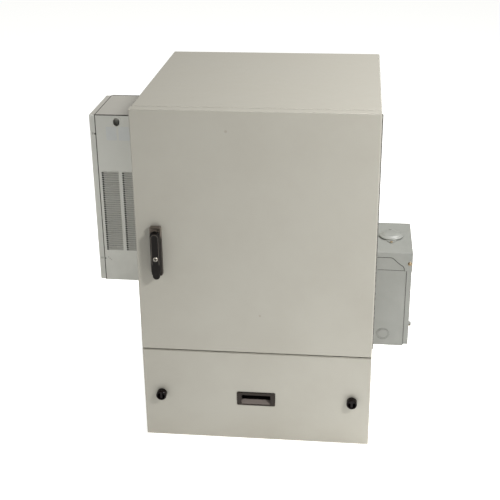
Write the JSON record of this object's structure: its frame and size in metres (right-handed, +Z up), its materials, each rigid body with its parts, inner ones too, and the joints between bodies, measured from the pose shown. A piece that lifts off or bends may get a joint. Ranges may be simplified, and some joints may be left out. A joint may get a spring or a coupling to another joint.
{
  "type": "roadside utility cabinet",
  "caption": "Roadside equipment cabinet with hinged door, pull-out lower drawer, side heat exchanger and side load centre.",
  "frame": {"origin": "middle of the cabinet body's footprint on the ground", "axes": "+X to the right of a person facing the door, +Y to the back, +Z up"},
  "size_m": [0.8975, 0.668, 0.93],
  "materials": {
    "cabinet_paint": "fine textured powder coat, beige grey, low gloss",
    "inner_steel": "powder coat inside",
    "zinc_steel": "zinc plated steel",
    "seal_rubber": "matt black cellular rubber",
    "exchanger_paint": "light grey powder coat",
    "core_aluminium": "mill finish plates",
    "fan_plastic": "glass filled black plastic",
    "load_paint": "grey baked enamel over galvanised steel",
    "yellow_zinc": "yellow passivated",
    "breaker_plastic": "black thermoset",
    "handle_black": "black powder coated die casting, satin",
    "lock_chrome": "bright plated cylinder",
    "knob_plastic": "gloss black",
    "pull_plastic": "moulded dark grey plastic"
  },
  "bodies": {
    "cabinet": {"cabinet_shell": "cabinet_paint", "front_frame": "cabinet_paint", "cabinet_floor": "cabinet_paint", "compartment_divider": "inner_steel", "door_seal": "seal_rubber", "drawer_seal": "seal_rubber", "hinge_body_leaf": "zinc_steel", "hinge_pin": "zinc_steel", "slide_outer_members": "zinc_steel", "slide_brackets": "inner_steel", "rack_rail_left": "zinc_steel", "rack_rail_right": "zinc_steel", "rail_side_bars": "inner_steel", "ground_bar": "yellow_zinc", "exchanger_seal": "seal_rubber", "exchanger_housing": "exchanger_paint", "exchanger_cover": "exchanger_paint", "exchanger_shelves": "inner_steel", "exchanger_core": "core_aluminium", "cabin_fan_frame": "fan_plastic", "ambient_fan_frame": "fan_plastic", "exchanger_screws": "zinc_steel", "load_box": "load_paint", "load_hood": "load_paint", "hub_plate": "load_paint", "load_screws": "yellow_zinc", "breaker_pan": "inner_steel", "breaker_left": "breaker_plastic", "breaker_right": "breaker_plastic", "dead_front": "load_paint", "neutral_bar": "yellow_zinc", "conduit_fitting": "zinc_steel"},
    "door": {"main_door": "cabinet_paint", "door_stiffeners": "inner_steel", "hinge_door_leaf": "zinc_steel", "handle_housing": "handle_black", "rod_guides": "zinc_steel"},
    "handle": {"handle_hub": "handle_black", "handle_pivot_pin": "zinc_steel", "latch_cam": "zinc_steel"},
    "lever": {"handle_lever": "handle_black"},
    "lock": {"lock_core": "lock_chrome"},
    "upper_latch": {"upper_rod": "zinc_steel"},
    "lower_latch": {"lower_rod": "zinc_steel"},
    "drawer": {"drawer_front": "cabinet_paint", "drawer_tray": "inner_steel", "pull_cup": "pull_plastic", "slide_inner_members": "zinc_steel"},
    "left_knob": {"knob_left": "knob_plastic", "pawl_left": "zinc_steel"},
    "right_knob": {"knob_right": "knob_plastic", "pawl_right": "zinc_steel"},
    "left_middle_slide": {"slide_middle_left": "zinc_steel"},
    "right_middle_slide": {"slide_middle_right": "zinc_steel"},
    "cabin_fan": {"cabin_fan_rotor": "fan_plastic"},
    "ambient_fan": {"ambient_fan_rotor": "fan_plastic"},
    "load_door": {"load_cover": "load_paint", "cover_screw": "yellow_zinc"},
    "left_toggle": {"toggle_left": "breaker_plastic"},
    "right_toggle": {"toggle_right": "breaker_plastic"}
  },
  "joints": [
    {"name": "door_hinge", "type": "hinge", "parent": "cabinet", "child": "door", "pos_m": [0.306, -0.3065, 0.60175], "axis": [0, 0, 1], "range_deg": [0, 115]},
    {"name": "handle_turn", "type": "hinge", "parent": "door", "child": "handle", "pos_m": [-0.2515, -0.338, 0.604], "axis": [0, -1, 0], "range_deg": [0, 90]},
    {"name": "handle_lift", "type": "hinge", "parent": "handle", "child": "lever", "pos_m": [-0.2515, -0.3565, 0.6138], "axis": [-1, 0, 0], "range_deg": [0, 40]},
    {"name": "lock_turn", "type": "hinge", "parent": "lever", "child": "lock", "pos_m": [-0.2515, -0.3565, 0.545], "axis": [0, -1, 0], "range_deg": [0, 90]},
    {"name": "upper_rod_slide", "type": "slide", "parent": "door", "child": "upper_latch", "axis": [0, 0, -1], "range_m": [0, 0.02]},
    {"name": "lower_rod_slide", "type": "slide", "parent": "door", "child": "lower_latch", "axis": [0, 0, 1], "range_m": [0, 0.02]},
    {"name": "drawer_slide", "type": "slide", "parent": "cabinet", "child": "drawer", "axis": [0, -1, 0], "range_m": [0, 0.45]},
    {"name": "left_middle_run", "type": "slide", "parent": "cabinet", "child": "left_middle_slide", "axis": [0, -1, 0], "range_m": [0, 0.225]},
    {"name": "right_middle_run", "type": "slide", "parent": "cabinet", "child": "right_middle_slide", "axis": [0, -1, 0], "range_m": [0, 0.225]},
    {"name": "left_knob_turn", "type": "hinge", "parent": "drawer", "child": "left_knob", "pos_m": [-0.257, -0.338, 0.137], "axis": [0, -1, 0], "range_deg": [0, 90]},
    {"name": "right_knob_turn", "type": "hinge", "parent": "drawer", "child": "right_knob", "pos_m": [0.257, -0.338, 0.137], "axis": [0, -1, 0], "range_deg": [0, 90]},
    {"name": "cabin_fan_spin", "type": "hinge", "parent": "cabinet", "child": "cabin_fan", "pos_m": [-0.327, 0, 0.761], "axis": [-1, 0, 0], "continuous": true},
    {"name": "ambient_fan_spin", "type": "hinge", "parent": "cabinet", "child": "ambient_fan", "pos_m": [-0.38, 0, 0.38], "axis": [0, 0, 1], "continuous": true},
    {"name": "load_cover_swing", "type": "hinge", "parent": "cabinet", "child": "load_door", "pos_m": [0.4035, 0, 0.4444], "axis": [0, -1, 0], "range_deg": [0, 110]},
    {"name": "left_toggle_throw", "type": "hinge", "parent": "cabinet", "child": "left_toggle", "pos_m": [0.3775, -0.0127, 0.319], "axis": [0, 1, 0], "range_deg": [0, 40]},
    {"name": "right_toggle_throw", "type": "hinge", "parent": "cabinet", "child": "right_toggle", "pos_m": [0.3775, 0.0127, 0.319], "axis": [0, 1, 0], "range_deg": [0, 40]}
  ],
  "couplings": [
    {"joint": "upper_rod_slide", "follows": "handle_turn", "m_per_rad": 0.01273},
    {"joint": "lower_rod_slide", "follows": "handle_turn", "m_per_rad": 0.01273},
    {"joint": "left_middle_run", "follows": "drawer_slide", "ratio": 0.5},
    {"joint": "right_middle_run", "follows": "drawer_slide", "ratio": 0.5}
  ]
}
